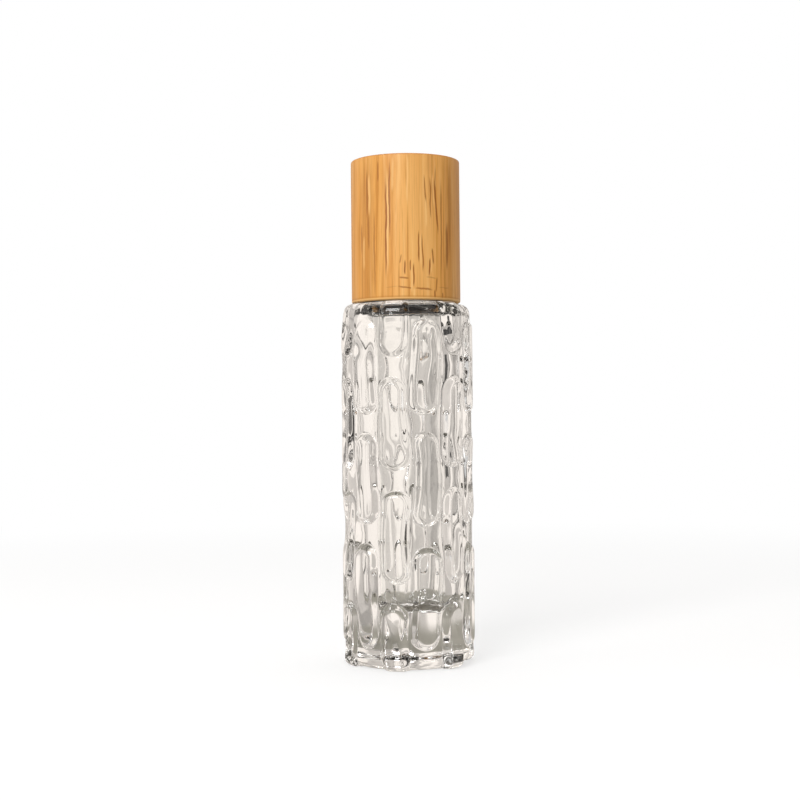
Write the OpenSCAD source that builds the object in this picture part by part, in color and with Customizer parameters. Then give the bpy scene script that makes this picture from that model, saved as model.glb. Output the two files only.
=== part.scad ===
// Roll-on bottle for scented oil. A thick glass vial is moulded with staggered raised pads, like bark.
// A plastic housing is pressed into its neck and holds a steel ball, and a turned bamboo cap with a
// plastic screw liner closes over them. The origin is the middle of the foot, +Z is up, -Y is the front
// and every length is in millimetres.

/* [Glass body] */
// Height of the shoulder above the surface that the bottle stands on
body_h = 60.3; // [50:0.1:90]
// Diameter of the glass between the raised pads
ground_d = 20.5; // [20:0.1:24]
// Rounding of the glass between the pads, down at the foot
foot_round = 2; // [1:0.1:2.5]
// Rounding of the shoulder
shoulder_round = 2.2; // [1:0.1:2.4]
// Diameter of the shallow hollow under the foot
punt_d = 12; // [8:0.5:14]
// Depth of the shallow hollow under the foot
punt_depth = 0.7; // [0.3:0.1:1.2]

/* [Raised pads] */
// Columns of pads round the body, an even number because neighbouring columns are staggered
pad_columns = 12; // [10:2:12]
// Height of a pad above the glass between the pads
pad_relief = 0.95; // [0.4:0.05:1.3]
// Length of a pad at its root
pad_len = 15.7; // [10:0.1:20]
// Width of a pad at its root
pad_w = 5.1; // [3:0.1:5.2]
// Width of the sloping edge round a pad, seen from the front
pad_bevel = 0.8; // [0.3:0.05:1.2]
// Bare glass between two pads of one column
pad_gap = 2.95; // [1.5:0.05:6]
// Height of the top of the pads that run down through the foot
foot_pad_top = 10.95; // [5:0.05:14]
// How much further down the lowest whole pads reach than their length says
low_pad_extra = 1.5; // [0:0.1:2]
// Rounding of the pads' outer edge at the foot
pad_foot_round = 1.3; // [0.3:0.1:2]

/* [Glass inside] */
// Thickness of the glass floor, from the standing surface
floor_h = 8.8; // [6:0.1:14]
// Diameter of the hollow just above its rounded floor
cavity_low_d = 11.6; // [10.5:0.1:14]
// Diameter of the hollow where it starts to widen towards the shoulder
cavity_mid_d = 12; // [10.5:0.1:14]
// Diameter of the hollow just under the shoulder
cavity_top_d = 14; // [10.5:0.1:15]
// Height of the widest part of the hollow
cavity_top_h = 3; // [1:0.5:8]
// Height over which the hollow widens to it
cavity_widen_h = 4; // [2:0.5:10]
// Rounding where the hollow meets its floor
floor_round = 3; // [1:0.1:4]
// Thickness of the glass over the hollow at the shoulder
shoulder_wall = 3.1; // [2.5:0.1:5]

/* [Neck] */
// Outside diameter of the neck, without its screw thread
neck_d = 12.8; // [12.4:0.1:13.2]
// Diameter of the bore that the ball housing is pressed into
neck_bore_d = 10.2; // [9.8:0.1:10.6]
// How far the bead under the screw thread stands out of the neck
bead_out = 0.3; // [0.1:0.05:0.35]
// Height of the bead under the screw thread
bead_h = 1.2; // [0.8:0.1:2]
// Height of the bead above the shoulder
bead_z = 1.6; // [1:0.1:2.5]
// Rounding of the neck's rim
rim_round = 0.4; // [0.2:0.05:0.6]

/* [Ball and housing] */
// Diameter of the steel ball
ball_d = 9; // [8.2:0.1:9.2]
// Gap between the ball and its socket, on the radius
ball_play = 0.06; // [0.03:0.01:0.12]
// Height of the ball's centre above the neck's rim
ball_rise = 1.6; // [1.2:0.1:2.4]
// Height of the socket's lip above the ball's centre
lip_rise = 2.2; // [1.6:0.1:2.6]
// Length of the housing's plug inside the neck
plug_len = 6; // [5.5:0.1:7.5]
// Gap between the plug and the bore, on the radius
plug_gap = 0.1; // [0.05:0.01:0.15]
// Gap between the plug's sealing ribs and the bore, on the radius
seal_gap = 0.02; // [0.01:0.01:0.04]
// Wall of the plug's open lower end
plug_wall = 0.8; // [0.6:0.05:1]
// Sealing ribs round the plug
plug_ribs = 3; // [1:1:3]
// Height of one sealing rib
plug_rib_h = 0.5; // [0.3:0.05:0.7]
// Thickness of the flange that sits on the rim
flange_t = 1; // [0.6:0.1:1.4]
// Diameter of the flange
flange_d = 12.6; // [12.2:0.1:13.2]
// Diameter of the collar round the socket
collar_d = 11.9; // [11:0.1:12.1]
// Rounding of the collar's top edge
lip_round = 0.7; // [0.3:0.1:0.9]
// Diameter of the hole that feeds the ball
feed_d = 5.4; // [4.4:0.1:6]

/* [Cap] */
// Outside diameter of the bamboo cap
cap_d = 18.4; // [17.6:0.1:21]
// Height of the bamboo cap
cap_h = 24; // [19.5:0.1:32]
// Thickness of the bamboo over the liner
cap_top_wall = 4.1; // [2:0.1:6]
// Gap between the closed cap and the shoulder
cap_gap = 0.3; // [0.3:0.1:1.5]
// Rounding of the cap's edges
cap_round = 0.3; // [0.1:0.05:0.6]
// Gap between the liner's glue ribs and the bamboo, on the radius
glue_gap = 0.05; // [0.02:0.01:0.1]
// Gap between the top of the liner and the bamboo over it
liner_top_gap = 0.1; // [0.05:0.05:0.3]

/* [Cap liner] */
// Gap between the liner's bore and the crest of the neck's screw thread, on the radius
thread_gap = 0.1; // [0.05:0.05:0.15]
// Height of the neck's screw thread, from the neck to its crest
thread_out = 0.6; // [0.4:0.05:0.7]
// Wall of the liner
liner_wall = 0.65; // [0.5:0.05:0.8]
// How far the liner's mouth sits inside the cap's mouth
liner_inset = 0.3; // [0:0.1:1]
// Thickness of the liner's top
liner_top = 1.2; // [0.8:0.1:1.8]
// Gap between the ball and the liner's top over it
ball_clear = 0.6; // [0.3:0.1:1.2]
// Glue ribs on the outside of the liner
glue_ribs = 24; // [12:2:30]
// How far a glue rib stands out of the liner
glue_rib_out = 0.25; // [0.15:0.05:0.4]
// Width of a glue rib
glue_rib_w = 0.6; // [0.4:0.05:0.9]
// How far a glue rib stops short of the liner's mouth and top
glue_rib_end = 1; // [0.5:0.1:3]
// Chamfer inside the liner's mouth
liner_lead = 0.3; // [0.1:0.05:0.4]
// Rounding of the liner's top edge
liner_round = 0.4; // [0.2:0.05:0.6]
// Outside diameter of the ring that seals on the ball
seal_ring_d = 6.4; // [5.6:0.1:7]
// Wall of the ring that seals on the ball
seal_ring_wall = 0.8; // [0.6:0.1:1]
// Gap between the sealing ring and the ball
seal_ring_gap = 0.15; // [0.1:0.05:0.3]

/* [Hidden] */
// Fineness of full circles
$fn = 120;
// Flat steps in a quarter turn of a rounded edge
round_steps = 8;
// Overrun that makes a cut pass cleanly through
over = 1;

ground_r = ground_d / 2;
pad_r = ground_r + pad_relief;
punt_r = punt_d / 2;
pad_period = pad_len + pad_gap;
column_angle = 360 / pad_columns;
// The rounded end of a pad is a half circle on its own width
pad_end_r = pad_w / 2;
// The pads start inside the glass, where no rounding of the foot or shoulder can bare their ends
pad_root_r = ground_r - max(foot_round, shoulder_round) - pad_foot_round;
pad_outer_r = pad_r + over;
// Inside the glass a pad narrows towards the axis, and outside it by its bevel
pad_root_end_r = pad_end_r * pad_root_r / ground_r;
pad_outer_end_r = pad_end_r - pad_bevel * (pad_outer_r - ground_r) / pad_relief;

cap_z = body_h + cap_gap;
cap_r = cap_d / 2;
cap_top_z = cap_z + cap_h;
// The cap's top sets the height of the liner, of the ball under it and so of the neck
cap_bore_top_z = cap_top_z - cap_top_wall;
liner_top_z = cap_bore_top_z - liner_top_gap;
liner_ceiling_z = liner_top_z - liner_top;

ball_r = ball_d / 2;
socket_r = ball_r + ball_play;
ball_z = liner_ceiling_z - ball_clear - ball_r;
rim_z = ball_z - ball_rise;
lip_z = ball_z + lip_rise;

neck_r = neck_d / 2;
neck_bore_r = neck_bore_d / 2;
cavity_low_r = cavity_low_d / 2;
cavity_mid_r = cavity_mid_d / 2;
cavity_top_r = cavity_top_d / 2;
cavity_top_z = body_h - shoulder_wall;
cavity_wide_z = cavity_top_z - cavity_top_h;
// The hollow closes in to the neck's bore at 45 degrees
cavity_neck_z = cavity_top_z + cavity_top_r - neck_bore_r;

flange_r = flange_d / 2;
collar_r = collar_d / 2;
plug_r = neck_bore_r - plug_gap;
plug_z = rim_z - plug_len;
plug_rib_r = neck_bore_r - seal_gap;
plug_inner_r = plug_r - plug_wall;
// Floor of the plug's open end, under the socket by one plug wall
plug_floor_z = ball_z - socket_r - plug_wall;
plug_rib_pitch = plug_len / (plug_ribs + 1);
feed_r = feed_d / 2;

liner_bore_r = neck_r + thread_out + thread_gap;
liner_r = liner_bore_r + liner_wall;
glue_rib_r = liner_r + glue_rib_out;
cap_bore_r = glue_rib_r + glue_gap;
liner_z = cap_z + liner_inset;
seal_ring_r = seal_ring_d / 2;
seal_ring_inner_r = seal_ring_r - seal_ring_wall;
// The ring comes nearest to the ball at its inner edge
seal_ring_z = ball_z + sqrt(pow(ball_r, 2) - pow(seal_ring_inner_r, 2)) + seal_ring_gap;

// Points of a round edge about [x, z], from one angle to another
function arc(x, z, r, from, to) = [
    for (i = [0 : round_steps])
        let (a = from + (to - from) * i / round_steps)
            [x + r * cos(a), z + r * sin(a)]
];

// Half of a pad's section across, from its root to beyond its face, as [half width, radius]
pad_half = [[pad_root_end_r, pad_root_r], [pad_end_r, ground_r], [pad_outer_end_r, pad_outer_r]];

// One raised pad about the +X direction, from its lower end to its upper end, with sloping sides
module pad(bottom, top) {
    low = bottom + pad_end_r;
    high = top - pad_end_r;
    for (z = [low, high])
        translate([0, 0, z])
            rotate([0, 90, 0])
                rotate_extrude()
                    polygon(concat([[0, pad_root_r]], pad_half, [[0, pad_outer_r]]));
    translate([0, 0, low])
        linear_extrude(high - low)
            polygon([
                for (side = [-1, 1], i = [0 : 2])
                    let (p = pad_half[side < 0 ? i : 2 - i])
                        [p.y, side * p.x]
            ]);
}

// Every pad: one column runs through the foot and the next is staggered by half a period
module pads() {
    for (column = [0 : pad_columns - 1]) {
        staggered = column % 2;
        first_top = foot_pad_top + staggered * pad_period / 2;
        rows = ceil((body_h + pad_len - first_top) / pad_period);
        rotate([0, 0, column * column_angle - 90])
            for (row = [0 : rows - 1]) {
                top = first_top + row * pad_period;
                extra = staggered == 1 && row == 0 ? low_pad_extra : 0;
                pad(top - pad_len - extra, top);
            }
    }
}

// Solid of revolution of the body, with a rounded foot and shoulder
module body_round(r, low_round, high_round) {
    rotate_extrude()
        polygon(concat(
            [[0, 0]],
            arc(r - low_round, low_round, low_round, -90, 0),
            arc(r - high_round, body_h - high_round, high_round, 0, 90),
            [[0, body_h]]
        ));
}

module neck_outside() {
    rotate_extrude()
        polygon(concat(
            [[0, body_h - over], [neck_r, body_h - over], [neck_r, body_h + bead_z - bead_out]],
            [[neck_r + bead_out, body_h + bead_z], [neck_r + bead_out, body_h + bead_z + bead_h - bead_out]],
            [[neck_r, body_h + bead_z + bead_h]],
            arc(neck_r - rim_round, rim_z - rim_round, rim_round, 0, 90),
            [[0, rim_z]]
        ));
}

module cavity() {
    rotate_extrude()
        polygon(concat(
            [[0, floor_h]],
            arc(cavity_low_r - floor_round, floor_h + floor_round, floor_round, -90, 0),
            [[cavity_mid_r, cavity_wide_z - cavity_widen_h], [cavity_top_r, cavity_wide_z]],
            [[cavity_top_r, cavity_top_z], [neck_bore_r, cavity_neck_z]],
            [[neck_bore_r, rim_z + over], [0, rim_z + over]]
        ));
}

// Shallow dome cut up into the foot, so that the bottle stands on a ring
module punt() {
    dome_r = (pow(punt_r, 2) + pow(punt_depth, 2)) / (2 * punt_depth);
    translate([0, 0, punt_depth - dome_r]) sphere(dome_r);
}

module glass_bottle() {
    color("gainsboro")
        difference() {
            union() {
                body_round(ground_r, foot_round, shoulder_round);
                intersection() {
                    pads();
                    body_round(pad_r, pad_foot_round, shoulder_round);
                }
                neck_outside();
            }
            cavity();
            punt();
        }
}

module ball_housing() {
    color("whitesmoke")
        difference() {
            rotate_extrude()
                polygon(concat(
                    [[0, plug_z], [plug_inner_r, plug_z]],
                    [[plug_r - plug_gap, plug_z], [plug_r, plug_z + plug_gap]],
                    [for (i = [1 : plug_ribs], p = [
                        [plug_r, -plug_rib_h / 2], [plug_rib_r, 0], [plug_r, plug_rib_h / 2]
                    ]) [p.x, plug_z + i * plug_rib_pitch + p.y]],
                    [[plug_r, rim_z], [flange_r, rim_z]],
                    [[flange_r, rim_z + flange_t], [collar_r, rim_z + flange_t]],
                    arc(collar_r - lip_round, lip_z - lip_round, lip_round, 0, 90),
                    [[0, lip_z]]
                ));
            translate([0, 0, ball_z]) sphere(socket_r);
            translate([0, 0, plug_z - over]) cylinder(h = plug_floor_z - plug_z + over, r = plug_inner_r);
            translate([0, 0, plug_z]) cylinder(h = ball_z - plug_z, r = feed_r);
        }
}

module roller_ball() {
    color("silver")
        translate([0, 0, ball_z]) sphere(ball_r);
}

module cap_liner() {
    color("dimgray") {
        rotate_extrude()
            polygon(concat(
                [[0, liner_ceiling_z], [seal_ring_inner_r, liner_ceiling_z]],
                [[seal_ring_inner_r, seal_ring_z], [seal_ring_r, seal_ring_z]],
                [[seal_ring_r, liner_ceiling_z], [liner_bore_r, liner_ceiling_z]],
                [[liner_bore_r, liner_z + liner_lead], [liner_bore_r + liner_lead, liner_z]],
                [[liner_r, liner_z]],
                arc(liner_r - liner_round, liner_top_z - liner_round, liner_round, 0, 90),
                [[0, liner_top_z]]
            ));
        // The glue ribs start halfway inside the wall
        for (i = [0 : glue_ribs - 1])
            rotate([0, 0, i * 360 / glue_ribs])
                translate([liner_r - liner_wall / 2, -glue_rib_w / 2, liner_z + glue_rib_end])
                    cube([liner_wall / 2 + glue_rib_out, glue_rib_w, liner_top_z - liner_z - 2 * glue_rib_end]);
    }
}

module cap_shell() {
    color("burlywood")
        rotate_extrude()
            polygon(concat(
                [[cap_bore_r, cap_z]],
                arc(cap_r - cap_round, cap_z + cap_round, cap_round, -90, 0),
                arc(cap_r - cap_round, cap_top_z - cap_round, cap_round, 0, 90),
                [[0, cap_top_z], [0, cap_bore_top_z], [cap_bore_r, cap_bore_top_z]]
            ));
}

glass_bottle();
ball_housing();
roller_ball();
cap_liner();
cap_shell();
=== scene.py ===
"""Dresses a roll-on bottle: moulded glass vial, ball housing, steel ball, cap liner and bamboo cap."""

import math

import bpy
from bpy.props import FloatProperty, FloatVectorProperty, IntProperty, PointerProperty
from mathutils import Euler, Matrix, Vector, noise


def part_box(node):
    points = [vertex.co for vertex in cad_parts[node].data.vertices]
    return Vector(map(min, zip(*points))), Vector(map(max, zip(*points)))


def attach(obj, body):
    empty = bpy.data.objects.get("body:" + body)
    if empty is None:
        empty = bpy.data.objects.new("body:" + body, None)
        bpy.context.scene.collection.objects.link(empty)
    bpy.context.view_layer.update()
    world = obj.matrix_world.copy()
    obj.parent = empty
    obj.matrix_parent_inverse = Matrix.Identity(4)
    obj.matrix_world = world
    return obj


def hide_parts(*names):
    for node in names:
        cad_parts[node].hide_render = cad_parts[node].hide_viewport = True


bl_info = {
    "name": "Roll-on Bottle",
    "version": (1, 0, 0),
    "blender": (4, 5, 0),
    "location": "View3D > Sidebar > Roll-on",
    "description": "Models the glass, plastic, steel and bamboo pieces of a roll-on bottle round its frame",
    "category": "Object",
}

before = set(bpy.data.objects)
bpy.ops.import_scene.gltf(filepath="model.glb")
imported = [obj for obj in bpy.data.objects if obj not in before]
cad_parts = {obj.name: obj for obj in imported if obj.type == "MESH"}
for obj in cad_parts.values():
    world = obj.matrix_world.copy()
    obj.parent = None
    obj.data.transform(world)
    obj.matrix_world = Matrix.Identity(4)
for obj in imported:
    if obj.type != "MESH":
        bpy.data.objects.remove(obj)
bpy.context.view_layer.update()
GLASS_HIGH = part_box("glass_bottle")[1]
HOUSING_LOW, HOUSING_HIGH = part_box("ball_housing")
BALL_LOW, BALL_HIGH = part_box("roller_ball")
LINER_LOW, LINER_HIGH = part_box("cap_liner")
CAP_LOW, CAP_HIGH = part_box("cap_shell")
BALL_R = (BALL_HIGH.x - BALL_LOW.x) / 2
BALL_Z = (BALL_HIGH.z + BALL_LOW.z) / 2

MM = 0.001
# Points closer than this are one point
MERGE = 0.001 * MM
# Steps round a turned surface
LATHE_STEPS = 144
WHITE = (1.0, 1.0, 1.0)


def length(name, description, size):
    """A size that a user may change, given in millimetres."""
    return FloatProperty(name=name, description=description, default=size * MM, unit="LENGTH", precision=5)


def angle(name, description, degrees):
    """An angle that a user may change, given in degrees."""
    return FloatProperty(name=name, description=description, default=math.radians(degrees), subtype="ANGLE")


def number(name, description, default, subtype="NONE"):
    """A plain number that a user may change."""
    return FloatProperty(name=name, description=description, default=default, subtype=subtype)


def count(name, description, default):
    """A whole number that a user may change."""
    return IntProperty(name=name, description=description, default=default)


def colour(name, description, default):
    """A colour that a user may change."""
    return FloatVectorProperty(name=name, description=description, default=default, size=3, subtype="COLOR")


class GlassSizes(bpy.types.PropertyGroup):
    """Sizes of the moulded glass."""

    body_h: length("Shoulder height", "Height of the shoulder above the foot", 60.45)
    ground_r: length("Ground radius", "Radius of the glass between the pads", 10.25)
    foot_round: length("Foot rounding", "Rounding of the glass between the pads at the foot", 2)
    pad_foot_round: length("Pad foot rounding", "Rounding of the pads' outer edge at the foot", 1.3)
    shoulder_round: length("Shoulder rounding", "Rounding of the shoulder", 2.2)
    columns: count("Columns", "Columns of pads round the body, an even number", 12)
    pad_len: length("Pad length", "Length of a pad at its root", 15.7)
    pad_w: length("Pad width", "Width of a pad at its root", 5.1)
    pad_bevel: length("Pad bevel", "Width of the sloping edge round a pad", 1.1)
    pad_gap: length("Pad gap", "Bare glass between two pads of one column", 2.95)
    foot_pad_top: length("Foot pad top", "Top of the pads that run through the foot", 10.95)
    low_pad_extra: length("Low pad extra", "How much longer the lowest whole pads are", 1.5)
    floor_h: length("Floor", "Thickness of the glass floor", 8.8)
    floor_round: length("Floor rounding", "Rounding of the hollow at its floor", 3)
    cavity_low_r: length("Low hollow radius", "Radius of the hollow above its floor", 5.6)
    cavity_mid_r: length("Middle hollow radius", "Radius of the hollow where it starts to widen", 6.0)
    cavity_top_r: length("Top hollow radius", "Radius of the hollow under the shoulder", 7.0)
    cavity_top_h: length("Wide part", "Height of the widest part of the hollow", 3)
    cavity_widen_h: length("Widening", "Height over which the hollow widens", 4)
    shoulder_wall: length("Shoulder wall", "Thickness of the glass over the hollow", 2.0)
    waviness: length("Waviness", "Unevenness of the blown hollow", 0.12)
    lean: length("Lean", "How far the hollow leans off the middle a third of the way up", 0.4)
    drift: length("Drift", "How far the pads stray from their pattern", 0.8)
    ripple: length("Ripple", "Depth of the ripples in the outside", 0.05)
    settle: number("Settling", "Most of its height that a pad loses in places", 0.45, "FACTOR")
    punt_r: length("Punt radius", "Radius of the hollow under the foot", 6)
    punt_depth: length("Punt depth", "Depth of the hollow under the foot", 0.7)


class NeckSizes(bpy.types.PropertyGroup):
    """Sizes of the neck and of the screw thread on it."""

    neck_r: length("Neck radius", "Radius of the neck without its thread", 6.4)
    bore_r: length("Bore radius", "Radius of the bore", 5.1)
    bead_out: length("Bead", "How far the bead stands out of the neck", 0.3)
    bead_h: length("Bead height", "Height of the bead", 1.2)
    bead_z: length("Bead place", "Height of the bead above the shoulder", 1.6)
    rim_round: length("Rim rounding", "Rounding of the rim", 0.4)
    thread_out: length("Thread height", "Height of the thread's crest above the neck", 0.55)
    thread_w: length("Thread width", "Width of the thread at its root", 1.5)
    thread_pitch: length("Thread pitch", "Rise of the thread in one turn", 2.8)
    thread_low: length("Thread start", "Height of the thread's start above the shoulder", 4.2)
    thread_turns: number("Thread turns", "Turns of the thread", 2.0)


class CapSizes(bpy.types.PropertyGroup):
    """Sizes of the cap, the liner, the housing and the ball's socket."""

    cap_round: length("Cap rounding", "Rounding of the bamboo's edges", 0.3)
    liner_wall: length("Liner wall", "Wall of the liner", 0.65)
    rib_out: length("Glue rib", "How far a glue rib stands out of the liner", 0.25)
    rib_w: length("Glue rib width", "Width of a glue rib", 0.6)
    ribs: count("Glue ribs", "Glue ribs round the liner", 24)
    glue_gap: length("Glue gap", "Gap between the liner and the bamboo", 0.05)
    top_gap: length("Top gap", "Gap between the liner's top and the bamboo", 0.1)
    liner_top: length("Liner top", "Thickness of the liner's top", 1.2)
    ring_r: length("Seal ring radius", "Outer radius of the sealing ring over the ball", 3.2)
    ring_wall: length("Seal ring wall", "Wall of the sealing ring", 0.8)
    ring_gap: length("Seal ring gap", "Gap between the ring and the ball", 0.15)
    ball_play: length("Ball play", "Gap between the ball and its socket", 0.06)
    plug_gap: length("Plug gap", "Gap between the plug and the bore", 0.1)
    plug_wall: length("Plug wall", "Wall of the plug's open end", 0.8)
    flange_t: length("Flange", "Thickness of the flange on the rim", 1)
    collar_r: length("Collar radius", "Radius of the collar round the socket", 5.95)
    lip_round: length("Lip rounding", "Rounding of the collar's top edge", 0.7)
    feed_r: length("Feed radius", "Radius of the hole that feeds the ball", 2.7)


class Finish(bpy.types.PropertyGroup):
    """Colours of the finishes."""

    glass: colour("Glass", "Tint of the glass", (0.985, 0.99, 0.985))
    # This pale colour also paints light on the cap's underside.
    bamboo_pale: colour("Bamboo pale", "The lightest fibres of the bamboo", (0.98, 0.56, 0.19))
    bamboo_light: colour("Bamboo light", "Light bands of the bamboo", (0.92, 0.46, 0.115))
    bamboo_mid: colour("Bamboo middle", "Main colour of the bamboo", (0.80, 0.345, 0.055))
    bamboo_dark: colour("Bamboo dark", "Dark fibres of the bamboo", (0.52, 0.18, 0.008))
    bamboo_mark: colour("Bamboo mark", "The darkest marks of the bamboo", (0.34, 0.095, 0.0))
    black: colour("Black plastic", "Colour of the liner", (0.012, 0.011, 0.011))
    natural: colour("Natural plastic", "Colour of the housing", (0.78, 0.79, 0.77))
    steel: colour("Steel", "Colour of the ball", (0.72, 0.72, 0.73))


class StageSizes(bpy.types.PropertyGroup):
    """The camera's place and the studio."""

    azimuth: angle("Azimuth", "Turn of the camera round the bottle", 12.5)
    distance: length("Distance", "Distance from the bottle's axis to the camera", 247)
    height: length("Height", "Height of the camera above the floor", 41.2)
    focal_px: number("Focal length", "Focal length in pixels", 1457, "PIXEL")
    axis_px: number("Axis", "Column of the picture where the axis stands", 407, "PIXEL")
    horizon_px: number("Horizon", "Row of the picture at the camera's height", 418, "PIXEL")
    picture_px: number("Picture", "Side of the picture in pixels", 800, "PIXEL")
    roll: angle("Roll", "Lean of the camera to the right", 0.5)
    folds: number("Folds", "How far the folds move the edges of the tent's sides", 0.8)
    backdrop: colour("Backdrop", "Colour of the floor", (0.5, 0.495, 0.49))
    # Painted shadow: the darker colour that only the glass sees on the floor round the foot, standing in for
    # the bottle's shadow.
    painted_foot_shadow: colour("Near floor", "Colour that the glass gives the floor round the foot", (0.37, 0.345, 0.295))
    cloth: colour("Cloth", "Colour of the tent's cloth", (1.0, 0.925, 0.86))


# Shaping tools shared by the pieces


def select_nothing():
    """Leaves edit mode and deselects everything, because an operator acts on all that is selected."""
    if bpy.context.object and bpy.context.object.mode != "OBJECT":
        bpy.ops.object.mode_set(mode="OBJECT")
    bpy.ops.object.select_all(action="DESELECT")


def make_active(piece):
    """Selects one object alone."""
    select_nothing()
    piece.select_set(True)
    bpy.context.view_layer.objects.active = piece


def edit_all():
    """Enters edit mode with everything selected."""
    bpy.ops.object.mode_set(mode="EDIT")
    bpy.ops.mesh.select_all(action="SELECT")


def weld(piece, recalculate=True):
    """Merges points that lie together and turns the faces outwards."""
    make_active(piece)
    edit_all()
    bpy.ops.mesh.remove_doubles(threshold=MERGE)
    if recalculate:
        bpy.ops.mesh.normals_make_consistent(inside=False)
    bpy.ops.object.mode_set(mode="OBJECT")


def join(pieces, name):
    """Joins several objects into one."""
    select_nothing()
    for piece in pieces:
        piece.select_set(True)
    bpy.context.view_layer.objects.active = pieces[0]
    bpy.ops.object.join()
    pieces[0].name = name
    pieces[0].data.name = name
    return pieces[0]


def arc(x, z, radius, start, end, steps):
    """Points of a round edge about (x, z), angles in degrees."""
    turns = [math.radians(start + (end - start) * i / steps) for i in range(steps + 1)]
    return [(x + radius * math.cos(a), z + radius * math.sin(a)) for a in turns]


def straight(start, end, steps):
    """Points from start up to end, without end."""
    return [tuple(Vector(start).lerp(Vector(end), i / steps)) for i in range(steps)]


def bend(start, corner, end, steps):
    """Points of a soft curve that leaves start towards the corner and comes to end from it."""
    start, corner, end = Vector(start), Vector(corner), Vector(end)
    shares = [i / steps for i in range(steps + 1)]
    return [tuple(start.lerp(corner, t).lerp(corner.lerp(end, t), t)) for t in shares]


def fresh(operator, **settings):
    """Adds one of Blender's own shapes and returns it."""
    select_nothing()
    operator(**settings)
    return bpy.context.object


def open_outline(piece):
    """Deletes the edge between the last point of an outline and its first."""
    ends = {0, len(piece.data.vertices) - 1}
    for edge in piece.data.edges:
        edge.select = set(edge.vertices) == ends
    for vertex in piece.data.vertices:
        vertex.select = vertex.index in ends
    bpy.ops.object.mode_set(mode="EDIT")
    bpy.ops.mesh.select_mode(type="EDGE")
    bpy.ops.mesh.delete(type="EDGE")
    bpy.ops.mesh.select_mode(type="VERT")
    bpy.ops.object.mode_set(mode="OBJECT")


def lathe(name, outline, closed=True):
    """Spins an outline of (radius, height) points round the axis."""
    piece = fresh(bpy.ops.mesh.primitive_circle_add, vertices=len(outline))
    piece.name = name
    for vertex, (radius, height) in zip(piece.data.vertices, outline):
        vertex.co = (0, -radius, height)
    if not closed:
        open_outline(piece)
    edit_all()
    bpy.ops.mesh.spin(steps=LATHE_STEPS, angle=2 * math.pi, center=(0, 0, 0), axis=(0, 0, 1))
    bpy.ops.object.mode_set(mode="OBJECT")
    weld(piece)
    return piece


def patch(columns, rows, place):
    """A grid whose points are put in place by a rule of their column and row."""
    piece = fresh(bpy.ops.mesh.primitive_grid_add, x_subdivisions=columns, y_subdivisions=rows, size=2)
    for vertex in piece.data.vertices:
        column = round((vertex.co.x + 1) / 2 * columns)
        row = round((vertex.co.y + 1) / 2 * rows)
        vertex.co = place(column, row)
    return piece


def close_ring(piece, height):
    """Closes the flat ring between two open edges at a height."""
    make_active(piece)
    mesh = piece.data
    used = {}
    for face in mesh.polygons:
        for key in face.edge_keys:
            used[key] = used.get(key, 0) + 1
    for item in list(mesh.vertices) + list(mesh.polygons):
        item.select = False
    for edge in mesh.edges:
        ends = [mesh.vertices[i].co for i in edge.vertices]
        flat = all(abs(co.z - height) < MERGE for co in ends)
        edge.select = used.get(edge.key, 0) == 1 and flat
        if edge.select:
            for i in edge.vertices:
                mesh.vertices[i].select = True
    bpy.ops.object.mode_set(mode="EDIT")
    bpy.ops.mesh.select_mode(type="EDGE")
    bpy.ops.mesh.fill()
    bpy.ops.mesh.select_mode(type="VERT")
    bpy.ops.object.mode_set(mode="OBJECT")


def smooth(piece, sharp=40):
    """Shades a piece smooth, with edges of over this many degrees left sharp."""
    make_active(piece)
    bpy.ops.object.shade_smooth_by_angle(angle=math.radians(sharp))


def finish_piece(piece, body, node, material):
    """Gives a piece its material and ties it to the frame."""
    piece.data.materials.clear()
    piece.data.materials.append(material)
    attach(piece, body)
    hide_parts(node)


def smoothstep(t):
    """Runs from 0 to 1 with a soft start and end."""
    t = min(1.0, max(0.0, t))
    return t * t * (3 - 2 * t)


# Materials


def new_material(name):
    """An empty material and its node tree."""
    material = bpy.data.materials.new(name)
    material.use_nodes = True
    material.node_tree.nodes.clear()
    return material, material.node_tree


def add(tree, kind, inputs=None, **settings):
    """Adds a shader node. A node or socket among the inputs is linked, and any other value is set."""
    node = tree.nodes.new("ShaderNode" + kind)
    for key, value in settings.items():
        setattr(node, key, value)
    for key, value in (inputs or {}).items():
        socket = node.inputs[key]
        if isinstance(value, bpy.types.Node):
            value = value.outputs[0]
        if isinstance(value, bpy.types.NodeSocket):
            tree.links.new(value, socket)
        elif socket.type == "RGBA":
            socket.default_value = (*value, 1)
        else:
            socket.default_value = value
    return node


def surface(tree, inputs):
    """Ends a material in a principled surface."""
    add(tree, "OutputMaterial", {"Surface": add(tree, "BsdfPrincipled", inputs)})


def scaled_noise(tree, scale, detail=2.0, roughness=0.5):
    """Noise on the piece's own coordinates, with its own number of cells per metre on each axis."""
    where = add(tree, "TexCoord").outputs["Object"]
    mapped = add(tree, "Mapping", {"Vector": where, "Scale": scale})
    return add(tree, "TexNoise", {"Vector": mapped, "Scale": 1.0, "Detail": detail, "Roughness": roughness})


def ramp(tree, factor, low, high, low_value=0.0, high_value=1.0):
    """Maps a range of a factor smoothly onto another."""
    ranges = {"Value": factor, "From Min": low, "From Max": high, "To Min": low_value, "To Max": high_value}
    return add(tree, "MapRange", ranges, interpolation_type="SMOOTHSTEP").outputs["Result"]


def mix_colour(tree, factor, first, second):
    """Mixes two colours, each a socket or a colour."""
    return add(tree, "Mix", {0: factor, 6: first, 7: second}, data_type="RGBA").outputs[2]


def waver(tree, where, swings, width):
    """Moves a place to and fro with the colours of a noise, by up to half a width each way."""
    middle = add(tree, "VectorMath", {0: swings.outputs["Color"], 1: (0.5, 0.5, 0.5)}, operation="SUBTRACT")
    swing = add(tree, "VectorMath", {0: middle, "Scale": width}, operation="SCALE")
    return add(tree, "VectorMath", {0: where, 1: swing}, operation="ADD")


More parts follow.
